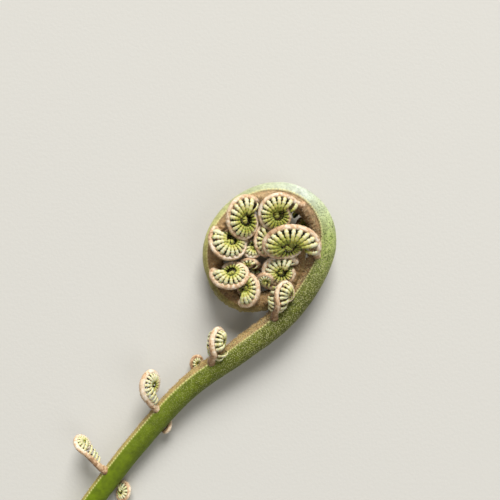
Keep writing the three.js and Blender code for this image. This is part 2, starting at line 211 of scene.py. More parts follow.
# How a pinnule runs through its tones: where it turns, sooner with its lime and each turn of the
# coil, and over what share; and how each pinnule, each face, and its edges, crown and notches differ.
PINNULE_TONING = Values(
    turns=0.68, lime=0.6, per_turn=0.35, over=0.65, each=0.5, face=0.4, edges=0.5, crown=0.9,
    notch=0.9, notched=0.8, foot=0.1,
)
# How a rib does: its mean tone; how much darker its far side is, partly browner wool and partly
# painted shade, and how much darker its foot is; and where it grows paler.
RIB_TONING = Values(
    mean=2.4, far_side=1.2, foot=0.7, foot_places=(-0.55, -0.85), pale_places=(-0.5, 0.6),
)
HAIR_TONES = [(0.92, 0.87, 0.72), (0.72, 0.57, 0.38), (0.42, 0.29, 0.16)]
HAIR_PALE, HAIR_TAN, HAIR_DARK = range(3)
# Unevenness: how strong each layer of noise is, and how large its lumps are, in millimetres.
UNEVEN = dict(
    skin=[(0.07, 0.9), (0.1, 4.0)],
    wool=[(0.3, 1.6), (0.25, 0.7)],
    outer_tone=[(0.10, 3.0), (0.07, 1.1)],
    inner_tone=[(0.16, 0.8), (0.1, 2.5)],
    pith_tone=[(0.06, 0.7)],
    rib=[(0.10, 0.8), (0.08, 2.2)],
    rib_tone=[(1.5, 1.3), (1.0, 4)],
)

# The studio, in metres and watts, and the camera in millimetres, straight over the frond.
FLOOR = Values(half_width=2.4, tone=(0.80, 0.79, 0.76))
LIGHTS = dict(
    key=dict(place=(0.9, 6.6, 5.2), power=1040, size=4.1),
    fill=dict(place=(1.8, -1.0, 2.4), power=14, size=2.0),
)
WORLD = Values(colour=(1.0, 0.99, 0.97), strength=0.28)
CAMERA = Values(distance=400, field=300, off_centre=(-10.8, -1.2))


def unit(v):
    return v / np.linalg.norm(v, axis=-1, keepdims=True)


def dot(a, b):
    return np.sum(a * b, axis=-1, keepdims=True)


def smooth(low, high, x):
    """0 below low, 1 above high, and a smooth step between them."""
    t = np.clip((x - low) / (high - low), 0, 1)
    return t * t * (3 - 2 * t)


def rising(least, low, high, x):
    """A least value below low, 1 above high, and a smooth step between them."""
    return least + (1 - least) * smooth(low, high, x)


def peak(x, width):
    """1 at 0, and next to nothing two widths away."""
    return np.exp(-((x / width) ** 2))


def rounding(left, over, least=0.02):
    """The share of its radius that a tube has that far from its end, which is rounded."""
    return np.sqrt(np.clip(left / over, least, 1))


LATTICE = rng.uniform(-1, 1, (32, 32, 32))


def noise(points, size):
    """Smooth random values from -1 to 1, in lumps of about that size."""
    place = points / size
    cell = np.floor(place).astype(int)
    part = place - cell
    part = part * part * (3 - 2 * part)
    total = 0
    for corner in np.ndindex(2, 2, 2):
        weight = np.prod(np.where(corner, part, 1 - part), axis=-1)
        total = total + weight * LATTICE[tuple(np.moveaxis((cell + corner) % 32, -1, 0))]
    return total


def uneven(mean, points, kind):
    """A value that varies about its mean, by the layers of noise for that kind."""
    for strength, size in UNEVEN[kind]:
        mean = mean + strength * noise(points, size)
    return mean


# The stem's line and frame.


def catmull_rom(points, steps):
    """Points on a centripetal Catmull-Rom curve through the given ones."""
    p = np.vstack([2 * points[0] - points[1], points, 2 * points[-1] - points[-2]])
    t = np.linspace(0, 1, steps, endpoint=False)[:, None]
    stretches = []
    for p0, p1, p2, p3 in zip(p, p[1:], p[2:], p[3:]):
        d0, d1, d2 = (np.sqrt(np.linalg.norm(b - a)) for a, b in ((p0, p1), (p1, p2), (p2, p3)))
        t1 = ((p1 - p0) / d0 - (p2 - p0) / (d0 + d1) + (p2 - p1) / d1) * d1
        t2 = ((p2 - p1) / d1 - (p3 - p1) / (d1 + d2) + (p3 - p2) / d2) * d1
        curve = p1 + t1 * t + (3 * (p2 - p1) - 2 * t1 - t2) * t**2 + (2 * (p1 - p2) + t1 + t2) * t**3
        stretches.append(curve)
    return np.vstack([*stretches, points[-1]])


def ring_radius(angle):
    return RING.radius + RING.oval * np.cos(2 * (angle - math.radians(RING.oval_axis)))


def stem_line():
    ring = np.arange(RING.start, RING.stop + 1, RING.step)
    spiral = np.arange(SPIRAL.start, SPIRAL.stop + 1, SPIRAL.step)
    spiral_radius = SPIRAL.radius * np.exp(-SPIRAL.tighten * np.radians(spiral - 360))
    plunged = (spiral - SPIRAL.plunge_from) / SPIRAL.plunge_turn
    spiral_radius += SPIRAL.plunge * np.exp(-plunged)
    angle = np.radians(np.concatenate([ring, spiral]))
    radius = np.concatenate([ring_radius(np.radians(ring)), spiral_radius])
    coil = np.stack([radius * np.cos(angle), radius * np.sin(angle), 0 * angle], -1)
    return catmull_rom(np.vstack([STALK_LINE, coil]), LINE_STEPS)


class Stem:
    def __init__(self):
        self.line = stem_line()
        steps = np.linalg.norm(np.diff(self.line, axis=0), axis=1)
        self.marks = np.concatenate([[0], np.cumsum(steps)])
        self.length = self.marks[-1]

    def point(self, at):
        return np.stack([np.interp(at, self.marks, self.line[:, k]) for k in range(3)], -1)

    def frame(self, at):
        """Inner points to the hollow side of the coil, and up to the near side."""
        at = np.asarray(at, float)
        ahead = self.point(np.minimum(at + NEARBY_ON_STEM, self.length))
        along = unit(ahead - self.point(np.maximum(at - NEARBY_ON_STEM, 0)))
        inner = unit(np.cross(UP, along))
        shares, radii = zip(*STEM_RADII)
        radius = np.interp(at / self.length, shares, radii)
        up = np.cross(along, inner)
        return Values(point=self.point(at), along=along, inner=inner, up=up, radius=radius)


# The pinnae's lines and frames.


class Pinna:
    """The line of one pinna's rib, with all that its row says. Its places run from -1 at the foot
    to 0 where the coil begins, and on in radians of the coil."""

    def __init__(self, row, stem):
        widest = max(SPREAD.of_radius * row["radius"], SPREAD.of_leaf * row["leaf"])
        vars(self).update({**PINNA, "spread": widest, **row})
        self.closed = self.closing[1]
        self.thickness = (RIB.least + RIB.share * self.radius) * self.thick

        foot = stem.frame(self.at)
        flank = math.radians(self.flank)
        self.outward = foot.inner * math.cos(flank) + foot.up * self.side * math.sin(flank)
        self.base = foot.point + self.outward * (foot.radius + GAP)
        to, by = np.radians(self.lean)
        self.normal = np.array(
            [math.sin(by) * math.cos(to), math.sin(by) * math.sin(to), self.side * math.cos(by)]
        )
        self.centre = np.array(self.centre, float)
        self.in_ring = math.hypot(*self.centre[:2]) < CLEAR.in_ring
        x_axis = np.array([1.0, 0, 0])
        self.unit_x = unit(x_axis - self.normal * self.normal[0])
        self.unit_y = np.cross(self.normal, self.unit_x) * self.side

        offset = self.base - self.centre
        x = offset @ self.unit_x / self.squeeze[0]
        y = offset @ self.unit_y / self.squeeze[1]
        tangent = math.acos(min(0.98, self.radius / math.hypot(x, y)))
        self.start = math.atan2(y, x) + self.sense * tangent
        first = self.coil(np.zeros(1))
        entry = unit(self.coil(np.full(1, NEARBY)) - first)
        self.reach = float(np.linalg.norm(first - self.base))
        leave = unit(unit(first - self.base) + self.outward * self.lift)
        handle = FOOT.handle * self.reach
        self.handles = (self.base, self.base + leave * handle, first - entry * handle, first)

    def shrunk(self, turn):
        share, start, stop = self.tighten
        tightening = share * smooth(start, stop, turn)
        closing = CLOSING.share * smooth(*self.closing, turn)
        return (1 - turn / self.wind) * (1 - tightening) * (1 - closing)

    def coil(self, turn):
        r = self.radius * self.shrunk(turn)
        a = self.start + self.sense * turn
        x = self.squeeze[0] * r * np.cos(a)
        y = self.squeeze[1] * r * np.sin(a)
        low, high = (self.closed + past for past in CLOSING.rising)
        z = CLOSING.rise * self.radius * smooth(low, high, turn)
        offsets = (x, self.unit_x), (y, self.unit_y), (z, self.normal)
        return self.centre + sum(step[..., None] * direction for step, direction in offsets)

    def point(self, place):
        t = np.clip(place + 1, 0, 1)[..., None]
        weights = ((1 - t) ** 3, 3 * t * (1 - t) ** 2, 3 * t * t * (1 - t), t**3)
        stalk = sum(w * p for w, p in zip(weights, self.handles))
        return np.where(place[..., None] < 0, stalk, self.coil(np.maximum(place, 0)))

    def frame(self, place):
        """Across is square to the pinna's coil, and inward points to its middle."""
        place = np.asarray(place, float)
        on_stalk = place < 0
        ahead = np.where(on_stalk, np.minimum(place + NEARBY, -1e-9), place + NEARBY)
        behind = np.maximum(place - NEARBY, np.where(on_stalk, -1, 0))
        along = unit(self.point(ahead) - self.point(behind))
        across = unit(self.normal - along * dot(along, self.normal))
        inward = np.cross(across, along) * self.sense * self.side
        twist = math.radians(self.twist) * smooth(*TWISTED, place)[..., None]
        straight, across = across, across * np.cos(twist) + inward * np.sin(twist)
        inward = inward * np.cos(twist) - straight * np.sin(twist)
        sideways = inward * self.sense * self.side
        scale = self.shrunk(np.maximum(place, 0))
        return Values(
            point=self.point(place), along=along, across=across, sideways=sideways, inward=inward,
            scale=scale,
        )

    def places(self, step):
        """Places all along the rib, about that many millimetres apart, or less in its middle."""
        on_stalk = np.linspace(-1, 0, RIB_PLACES.on_stalk)
        on_coil = np.linspace(0, TURNS * 2 * np.pi, RIB_PLACES.on_coil)[1:]
        fine = np.concatenate([on_stalk, on_coil])
        steps = np.linalg.norm(np.diff(self.point(fine), axis=0), axis=1)
        steps /= np.maximum(RIB_PLACES.least_step, self.shrunk(np.maximum(fine[1:], 0)))
        marks = np.concatenate([[0], np.cumsum(steps)])
        return np.interp(np.linspace(0, marks[-1], round(marks[-1] / step)), marks, fine)

    def rib_radius(self, place):
        scale = self.shrunk(np.maximum(place, 0))
        foot = max(0, min(FOOT.radius - self.thickness, FOOT.swelling * self.thickness))
        swelling = foot * np.exp(-(place + 1) / FOOT.taper)
        tube = self.thickness * scale ** RIB.thinning + swelling
        return tube * rounding(TURNS * 2 * np.pi - place, RIB.rounding)

    def slants(self, place, f):
        """How far each pinnule leans along the rib, as a share of how far it reaches inward: on
        the coil it heads for the middle."""
        to_middle = self.centre - f.point
        lean = dot(to_middle, f.along) / np.maximum(dot(to_middle, f.inward), PINNULE.nearest)
        most = PINNULE.most_slant
        return np.where(place[:, None] < 0, PINNULE.slant, np.clip(lean, -most, most))

    def pinnule_size(self, place, f):
        """How long each pinnule is beside the pinna's longest: on the outer turn they end at the
        hub, and on the inner turn they close the hub's middle."""
        hub = self.hub * self.radius * np.mean(self.squeeze)
        to_middle = np.linalg.norm(f.point - self.centre, axis=-1)
        to_middle = to_middle / np.hypot(1, self.slants(place, f)[:, 0])
        in_hub = place > self.closed - HUB.reaching_before
        room = np.where(in_hub, HUB.reach * to_middle, to_middle - hub)
        room = np.where(place < 0, np.inf, room)
        first, more, *grows = PINNULE.stalk
        most = np.where(place < 0, first + more * smooth(*grows, place), f.scale ** PINNULE.shrink)
        return np.clip(room / self.leaf, PINNULE.least * f.scale, most)

    def pinnule_places(self):
        """Where this pinna's pinnules stand, and how far apart in millimetres in its first turn."""
        spacing = PINNULE.spacing + PINNULE.spacing_share * self.radius
        spacing = min(PINNULE.most_spacing, spacing)
        per_turn = round(2 * np.pi * self.radius * np.mean(self.squeeze) / spacing)
        outer = np.arange(0.5, per_turn * self.closed / (2 * np.pi)) / per_turn * 2 * np.pi
        inner = np.arange(self.closed, TURNS * 2 * np.pi, 2 * np.pi / HUB.in_turn)
        coil = np.concatenate([outer, inner])
        count = max(1, round(-PINNULE.first * self.reach / spacing))
        stalk = PINNULE.first * (1 - (np.arange(count) + 0.5) / count)
        return np.concatenate([stalk, coil]), spacing


def all_pinnae(stem):
    def near(rows, name):
        return [dict(row, side=1, node=f"{name}_{i}") for i, row in enumerate(rows, 1)]

    def far(rows, changes, name):
        made = []
        for i, change in enumerate(changes, 1):
            row = dict(rows[change["like"]], side=-1, node=f"{name}_{i}")
            row.pop("flank", None)
            for key in {"radius", "leaf", "spread"} & set(row):
                row[key] *= change["size"]
            row["at"] -= FAR_BACK
            made.append({**row, **change})
        return made

    groups = {
        "near": near(NEAR_PINNAE, "pinna_near"),
        "inner_near": near(INNER_PINNAE, "pinna_inner_near"),
        "far": far(NEAR_PINNAE, FAR_PINNAE, "pinna_far"),
        "inner_far": far(INNER_PINNAE, FAR_INNER_PINNAE, "pinna_inner_far"),
    }
    return {name: [Pinna(row, stem) for row in rows] for name, rows in groups.items()}


# Meshes.


class Skin:
    """Points and faces gathered for one piece, with each face's material."""

    def __init__(self):
        self.points = []
        self.faces = []
        self.slots = []
        self.count = 0

    def add(self, points, *kinds):
        """Adds points and their faces: for each kind, the corner numbers and the material."""
        for faces, slots in kinds:
            faces = faces.reshape(-1, faces.shape[-1]) + self.count
            self.faces.append(faces)
            self.slots.append(np.broadcast_to(np.ravel(slots), len(faces)))
        points = points.reshape(-1, 3)
        self.points.append(points)
        self.count += len(points)

    def add_tubes(self, points, slots=0):
        """Adds closed tubes: for each its rings of points, and a material for each face."""
        tubes, rings, sides = points.shape[:3]
        shift = np.arange(tubes)[:, None, None] * rings * sides
        slots = np.broadcast_to(slots, (tubes, rings - 1, sides))
        cap_slots = np.repeat(slots[:, [0, -1], 0], sides - 2, axis=1)
        quads = tube_faces(rings, sides).reshape(-1, 4)
        self.add(points, (quads + shift, slots), (cap_faces(rings, sides) + shift, cap_slots))

    def piece(self, name, materials, slot, replaced=()):
        """Makes the piece, in metres and in its place in the frame, riding on the one body."""
        mesh = bpy.data.meshes.new(name)
        points = (np.concatenate(self.points) + COIL_CENTRE) * MM
        mesh.vertices.add(len(points))
        mesh.vertices.foreach_set("co", points.ravel())
        sizes = np.concatenate([np.full(len(f), f.shape[1]) for f in self.faces])
        corners = np.concatenate([f.ravel() for f in self.faces])
        mesh.loops.add(len(corners))
        mesh.loops.foreach_set("vertex_index", corners)
        mesh.polygons.add(len(sizes))
        mesh.polygons.foreach_set("loop_start", np.concatenate([[0], np.cumsum(sizes)[:-1]]))
        mesh.polygons.foreach_set("loop_total", sizes)
        mesh.polygons.foreach_set("material_index", np.concatenate(self.slots))
        mesh.polygons.foreach_set("use_smooth", np.ones(len(sizes), bool))
        for material in materials:
            mesh.materials.append(material)
        mesh.update(calc_edges=True)
        made = bpy.data.objects.new(name, mesh)
        bpy.context.scene.collection.objects.link(made)
        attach(made, "root")
        if replaced:
            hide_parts(*replaced)
        return made


def tube_faces(count, sides):
    """The four-cornered faces between count rings of points."""
    ring, side = np.meshgrid(np.arange(count - 1), np.arange(sides), indexing="ij")
    a = ring * sides + side
    b = ring * sides + (side + 1) % sides
    return np.stack([a, b, b + sides, a + sides], -1)


def cap_faces(count, sides):
    """A fan of triangles over the first ring of points and one over the last."""
    j = np.arange(1, sides - 1)
    last = (count - 1) * sides
    first_fan = np.stack([0 * j, j + 1, j], -1)
    last_fan = np.stack([last + 0 * j, last + j, last + j + 1], -1)
    return np.concatenate([first_fan, last_fan])


# The stem.

# Where the line of pale dots on each flank runs, in degrees from the middle of the woolly inner
# side, at shares of the stem's length.
FLANK_LINE = [(0, 38), (0.2, 42), (0.42, 46), (0.46, 50), (0.5, 68), (0.54, 88), (0.6, 110), (1, 116)]
# The stem's colours at shares of its length, on its outer side and its woolly inner side: its own
# green, pale and tan, with painted light and shade in them, paler where the ring's top is lit, and
# darker at the ring's bottom and on the inner coil, where they lie in shade.
OUTER_TONES_WITH_LIGHT = [
    (0, (0.40, 0.48, 0.03)),
    (0.1, (0.38, 0.45, 0.05)),
    (0.22, (0.37, 0.42, 0.08)),
    (0.34, (0.37, 0.39, 0.12)),
    (0.42, (0.37, 0.39, 0.15)),
    (0.48, (0.60, 0.66, 0.36)),
    (0.54, (0.77, 0.80, 0.74)),
    (0.6, (0.64, 0.66, 0.50)),
    (0.66, (0.73, 0.71, 0.42)),
    (0.71, (0.56, 0.52, 0.26)),
    (0.8, (0.48, 0.37, 0.22)),
    (1, (0.52, 0.42, 0.24)),
]
INNER_TONES_WITH_LIGHT = [
    (0, (0.60, 0.57, 0.28)),
    (0.2, (0.66, 0.57, 0.34)),
    (0.38, (0.66, 0.54, 0.36)),
    (0.46, (0.55, 0.42, 0.28)),
    (0.52, (0.65, 0.53, 0.39)),
    (0.6, (0.68, 0.57, 0.41)),
    (0.66, (0.66, 0.53, 0.36)),
    (0.72, (0.52, 0.40, 0.25)),
    (1, (0.50, 0.38, 0.23)),
]
# How thick the bed of wool on the inner side is, in millimetres, at shares of the length; and
# where past the flank line it and its tone set in, in widths of the line.
WOOL_BED = [
    (0, 0.2), (0.18, 0.4), (0.34, 2.2), (0.42, 3.2), (0.5, 2.6), (0.58, 2.8), (0.64, 3.4),
    (0.72, 3.2), (0.8, 1.5), (1, 0.4),
]
WOOL_SETS_IN = (-1, -8)
WOOL_TONE_SETS_IN = (0.2, -1.6)
# The inner coil's coat of wool all round: at what shares of the length it sets in and ends.
COAT = Values(sets_in=(0.71, 0.74), ends=(0.95, 0.8), thickness=2.0)
# The bloom on the coil's outer side sets in at these degrees from the inner side, and shares.
BLOOM = Values(tone=(0.80, 0.86, 0.72), strength=0.25, degrees=(110, 170), shares=(0.4, 0.5))
# The flank line: its dots, in millimetres and in waves; its height and its width in degrees, and
# how low it is between dots; and its tone, and how faint that is between dots.
DOTS = Values(
    every=1.9, unevenness=(0.35, 5.0), wave=(0.25, 0.6), height=0.3, width=6, low=0.45,
    tone=(0.88, 0.85, 0.60), tone_width=0.9, faint=0.35, fades=(0.76, 0.66),
)
GROOVE = Values(depth=0.3, inside=2.2, width=0.8)  # inside the line, in widths of it
# Specks, dark and pale, in millimetres; and where along the stem they set in, and get fewer.
SPECKS = [
    dict(colour=(0.15, 0.17, 0.03), size=0.46, spread=0.95, most=0.75),
    dict(colour=(0.84, 0.83, 0.60), size=0.4, spread=0.8, most=0.55),
]
SPECKLED = Values(sets_in=(0.08, 0.4), fades=(0.48, 0.55), fewer=0.7, core=0.6)
# The cut end, at shares of its radius: its rings of points, its rind, and two rings of bundles.
CUT_RINGS = np.linspace(0.04, 0.96, 18)
RIND = (0.82, 0.95)
PITH_TONE = (0.74, 0.77, 0.50)
BUNDLE_RINGS = [
    dict(count=11, turned=0, narrow=(0.35, 0.8), at=0.62),
    dict(count=4, turned=0.6, narrow=(0.4, 0.9), at=0.26),
]
BUNDLES = Values(tone=(0.30, 0.24, 0.10), width=0.07, strength=0.85)


def tone_at(share, tones):
    shares, colours = zip(*tones)
    colours = np.array(colours)
    return np.stack([np.interp(share, shares, colours[:, k]) for k in range(3)], -1)


def blend(a, b, share):
    return a + (np.array(b) - a) * share[..., None]


def dotted(least, at):
    """How strong the flank line is at each place: 1 in its dots, and least between them."""
    strength, size = DOTS.unevenness
    jitter = strength * noise(np.stack([at, 0 * at, 0 * at], -1), size)
    wave = 0.5 + 0.5 * np.cos(2 * np.pi * (at / DOTS.every + jitter))
    return rising(least, *DOTS.wave, wave)


def stem_skin(stem, at, angle):
    """The skin at each length along the stem and each angle from its inner side: turned is that
    angle in degrees, and from_line how far it is past the flank line, in widths of the line."""
    f = stem.frame(at)
    share = at / stem.length
    turned = np.degrees(np.abs((angle + np.pi) % (2 * np.pi) - np.pi))
    from_line = (turned - np.interp(share, *zip(*FLANK_LINE))) / DOTS.width
    ridge = DOTS.height * peak(from_line, 1) * dotted(DOTS.low, at)
    groove = GROOVE.depth * peak(from_line + GROOVE.inside, GROOVE.width)
    blunt = rounding(stem.length - at, STEM_ROUNDING)
    radius = f.radius * (blunt + (ridge - groove) / STEM_RADII[0][1])
    outward = f.inner * np.cos(angle)[..., None] + f.up * np.sin(angle)[..., None]
    points = f.point + outward * radius[..., None]
    coat = COAT.thickness * smooth(*COAT.sets_in, share) * smooth(*COAT.ends, share)
    bed = np.interp(share, *zip(*WOOL_BED)) * smooth(*WOOL_SETS_IN, from_line)
    relief = np.maximum(bed, coat) * uneven(1, points, "wool")
    for depth, size in UNEVEN["skin"]:
        relief = relief + depth * (noise(points, size) - 1)
    points = points + outward * relief[..., None]
    return Values(
        point=points, outward=outward, along=f.along, at=at, share=share, turned=turned,
        from_line=from_line,
    )


def stem_tones(s):
    """The skin's colour: green to pale outside, tan wool inside, with painted light and shade along
    the ring, dots on the line between.
    """
    bloom = BLOOM.strength * smooth(*BLOOM.degrees, s.turned) * smooth(*BLOOM.shares, s.share)
    outer = blend(tone_at(s.share, OUTER_TONES_WITH_LIGHT), BLOOM.tone, bloom)
    outer = outer * uneven(1, s.point, "outer_tone")[..., None]
    inner = tone_at(s.share, INNER_TONES_WITH_LIGHT) * uneven(1, s.point, "inner_tone")[..., None]
    tones = blend(outer, inner, smooth(*WOOL_TONE_SETS_IN, s.from_line))
    dots = peak(s.from_line, DOTS.tone_width) * dotted(DOTS.faint, s.at)
    return blend(tones, DOTS.tone, dots * smooth(*DOTS.fades, s.share))


def cut_tones(points, f):
    """The cut end: a green rind, pale pith, and two rings of dark bundles in it."""
    offset = points - f.point
    share = np.linalg.norm(offset, axis=-1) / f.radius
    angle = np.arctan2(offset @ f.up, offset @ f.inner)
    rings = []
    for ring in BUNDLE_RINGS:
        round_it = smooth(*ring["narrow"], np.cos(ring["count"] * angle + ring["turned"]))
        rings.append(round_it * peak(share - ring["at"], BUNDLES.width))
    pith = np.array(PITH_TONE) * uneven(1, points, "pith_tone")[..., None]
    tones = blend(pith, OUTER_TONES_WITH_LIGHT[0][1], smooth(*RIND, share))
    return blend(tones, BUNDLES.tone, BUNDLES.strength * np.maximum(*rings))


def linear(colour):
    """The light that a colour gives off, from its look."""
    colour = np.clip(colour, 0, 1)
    return np.where(colour < 0.04045, colour / 12.92, ((colour + 0.055) / 1.055) ** 2.4)


def rgba(colour):
    return (*linear(np.array(colour)), 1)


def make_stem(stem, material, nodes):
    at = np.linspace(0, stem.length, round(stem.length / STEM_STEP))
    angle = np.linspace(0, 2 * np.pi, STEM_SIDES, endpoint=False)
    at, angle = np.meshgrid(at, angle, indexing="ij")
    s = stem_skin(stem, at, angle)
    points = s.point
    f = stem.frame(0.0)
    cut = f.point + (points[0] - f.point) * CUT_RINGS[:, None, None]
    cut = cut - f.along * dot(cut - f.point, f.along)
    points[0] -= f.along * dot(points[0] - f.point, f.along)
    tones = np.concatenate([cut_tones(cut, f), stem_tones(s)])

    skin = Skin()
    skin.add_tubes(np.concatenate([cut, points])[None])
    piece = skin.piece("stem_skin", [material], "coil_skin", nodes)
    colours = piece.data.color_attributes.new("tone", "FLOAT_COLOR", "POINT")
    fewer = SPECKLED.fewer * smooth(*SPECKLED.fades, s.share)
    speckled = smooth(*SPECKLED.sets_in, s.share) * (1 - fewer)
    speckled = np.concatenate([0 * at[:len(cut)], speckled])
    values = np.concatenate([linear(tones), speckled[..., None]], axis=-1)
    colours.data.foreach_set("color", values.ravel())


# The pinnae.


def rib_rings(pinna, places):
    """Rings of points along a pinna's rib, from inside the stem to the middle of its coil."""
    f = pinna.frame(places)
    u = unit(f.sideways[0] - pinna.outward * dot(f.sideways[0], pinna.outward))
    sunk = pinna.base - pinna.outward * (FOOT.sunk + GAP)
    point = np.vstack([sunk, f.point])
    sideways = np.vstack([u, f.sideways])
    across = np.vstack([np.cross(pinna.outward, u), f.across])
    radius = pinna.rib_radius(places)
    radius = np.concatenate([radius[:1] * FOOT.root, radius])
    angle = np.linspace(0, 2 * np.pi, RIB_SIDES, endpoint=False)[:, None]
    outward = sideways[:, None] * np.cos(angle) + across[:, None] * np.sin(angle)
    rings = point[:, None] + outward * radius[:, None, None]
    return rings + outward * (radius[:, None] * uneven(0, rings, "rib"))[..., None]


def add_rib(skin, pinna):
    """Adds a rib of mixed tones, darker at its foot, darker on its far side with browner wool and
    painted shade, and green in its hub.
    """
    places = pinna.places(RIB_STEP)
    rings = rib_rings(pinna, places)
    place = np.concatenate([[-1], places])[:-1, None]
    # Darker towards the far side: partly browner wool, partly painted shade.
    far_side = -np.sin(np.linspace(0, 2 * np.pi, RIB_SIDES, endpoint=False))
    tone = uneven(RIB_TONING.mean, rings[:-1], "rib_tone") + RIB_TONING.far_side * far_side
    darker = RIB_TONING.foot * smooth(*RIB_TONING.foot_places, place)
    tone += darker - pinna.pale * smooth(*RIB_TONING.pale_places, place)
    slots = np.clip(np.round(tone), 0, len(RIB_TONES) - 1).astype(int)
    slots[1:][places[:-1] > pinna.closed - HUB.toned_before] = len(RIB_TONES)
    skin.add_tubes(rings[None], slots)


def pinnule_lines(pinna, places, f, row, count):
    """Points along each pinnule: it bows over from the rib and its tip curls under."""
    size = pinna.pinnule_size(places, f) * rng.uniform(*PINNULE.lengths, len(places))
    rib = pinna.rib_radius(places)[:, None]
    foot = f.point + rib * (PINNULE.foot[0] * f.inward + PINNULE.foot[1] * row * f.across)
    size = size[:, None, None]
    point, across, inward, along = (v[:, None] for v in (foot, f.across, f.inward, f.along))
    leaf = pinna.leaf * size
    rise = across * row * pinna.spread * size
    drop = inward * leaf / PINNULE.reach
    slant = along * pinna.slants(places, f)[:, None] * leaf / PINNULE.bow
    middle = point + drop

    t = np.linspace(0, 1, count)[:, None]
    bow = PINNULE.bow * np.minimum(t / PINNULE.bowed, 1)
    line = middle + rise * np.sin(bow) - drop * np.cos(bow) + slant * bow
    end = PINNULE.bow
    ahead = unit(rise * math.cos(end) + drop * math.sin(end) + slant)
    under = middle - line[:, -1:]
    under = unit(under - ahead * dot(under, ahead))
    curl = PINNULE.curl * np.maximum(t - PINNULE.bowed, 0) / (1 - PINNULE.bowed)
    line = line + PINNULE.curl_radius * leaf * (ahead * np.sin(curl) + under * (1 - np.cos(curl)))
    return line, middle


def pinnule_rings(pinna, places, f, row, spacing, count):
    """Rings of points round each pinnule's line, whose lobes stand out on both edges."""
    line, middle = pinnule_lines(pinna, places, f, row, count)
    ahead = unit(np.gradient(line, axis=1))
    edge = unit(f.along[:, None] - ahead * dot(ahead, f.along[:, None]))
    back = np.cross(ahead, edge)
    outside = np.sign(dot(back, line - middle)[:, count // 3])[:, None]
    back = back * outside
    edge = edge * outside

    t = np.linspace(0, 1, count)
    notch = LOBES.depth * (1 - np.abs(np.sin(np.pi * np.arange(count) / LOBES.points)))
    narrowed = 1 - OUTLINE.narrower * smooth(OUTLINE.narrows, 1, t)
    shape = rising(OUTLINE.foot, 0, OUTLINE.widest, t) * narrowed
    shape = shape * rounding(1 - t, OUTLINE.rounding, OUTLINE.least)
    wider = np.where(places > pinna.closed - HUB.wide_before, HUB.wider, 1)
    size = spacing * f.scale * wider * rng.uniform(*PINNULE.widths, len(places))
    size = size[:, None, None]
    wide = PINNULE.width * size * (shape * (1 - notch))[:, None]
    thick = PINNULE.thickness * size * (shape * (1 - LOBES.thinner * notch))[:, None]
    angle = np.linspace(0, 2 * np.pi, PINNULE.sides, endpoint=False)
    flattened = np.where(np.sin(angle) < -0.01, PINNULE.hollow, 1.0) * np.sin(angle)
    across = edge[:, :, None] * (wide * np.cos(angle))[..., None]
    return line[:, :, None] + across + back[:, :, None] * (thick * flattened)[..., None]


def pinnule_slots(pinna, places, count):
    """Each face's tone: creamy by the rib and on the back, limier to the tip and the middle, and a
    dark green of painted shade underneath.
    """
    toning = PINNULE_TONING
    sides = PINNULE.sides
    turn = np.maximum(places, 0)[:, None] / (2 * np.pi)
    t = (np.arange(count - 1) + 0.5) / (count - 1)
    low = toning.turns - toning.lime * pinna.lime
    last = len(PINNULE_TONES) - 1
    tone = last * smooth(low, low + toning.over, t + toning.per_turn * turn)
    tone = tone + rng.uniform(-toning.each, toning.each, (len(places), 1))
    tone = np.where(places[:, None] > pinna.closed - HUB.wide_before, HUB.tone, tone)
    round_it = 2 * np.pi * (np.arange(sides) + 0.5) / sides
    notch = np.abs(np.cos(np.pi * (np.arange(count - 1) + 0.5) / LOBES.points)) > toning.notched
    tone = tone[..., None] + toning.edges - toning.crown * np.sin(round_it)
    tone = tone + toning.notch * notch[:, None]
    tone = tone + rng.uniform(-toning.face, toning.face, tone.shape)
    slots = np.clip(np.round(tone), 0, last).astype(int)
    # The underside faces take the dark green of painted shade.
    slots[..., round_it > np.pi] = PINNULE_SHADED_UNDERSIDE
    slots[:, t < toning.foot] = PINNULE_FOOT
    return slots


def add_pinnules(skin, pinna, limbs):
    places, spacing = pinna.pinnule_places()
    count = int(np.clip(LOBES.points * round(LOBES.per_mm * pinna.leaf), *LOBES.rings))
    for row in (1, -1):
        shifted = places + rng.uniform(-PINNULE.shift, PINNULE.shift, len(places))
        f = pinna.frame(shifted)
        rings = pinnule_rings(pinna, shifted, f, row, spacing, count)
        lines = rings.mean(axis=2)[:, CLEAR.foot_rings:]
        free = clear_of(lines, limbs) & (inside_ring(lines) | (not pinna.in_ring))
        skin.add_tubes(rings[free], pinnule_slots(pinna, shifted[free], count))


def inside_ring(lines):
    """Which of the lines keep to the inner side of the big coil's ring."""
    angle = np.arctan2(lines[..., 1], lines[..., 0])
    away = np.hypot(lines[..., 0], lines[..., 1]) - ring_radius(angle)
    return (away < CLEAR.past_ring).all(axis=1)


def clear_of(lines, limbs):
    """Which of the lines run clear of all the limbs, given as middles and radii."""
    middles, radii = limbs
    low = lines.min(axis=(0, 1)) - radii.max()
    high = lines.max(axis=(0, 1)) + radii.max()
    near = ((middles > low) & (middles < high)).all(axis=1)
    away = np.linalg.norm(lines[:, :, None] - middles[near], axis=-1) - radii[near]
    return (away > 0).all(axis=(1, 2))


def limbs_near(pinna, stem, pinnae):
    """Middles and radii along the stem and along every other pinna's rib."""
    at = np.arange(0, stem.length, CLEAR.step)
    f = stem.frame(at)
    middles, radii = [f.point], [f.radius]
    for other in pinnae:
        if other is not pinna:
            places = other.places(CLEAR.step)
            middles.append(other.point(places))
            radii.append(CLEAR.rib_share * other.rib_radius(places))
    return np.concatenate(middles), np.concatenate(radii)


# Hairs.

HAIR = Values(sunk=0.1, half_width=0.07)
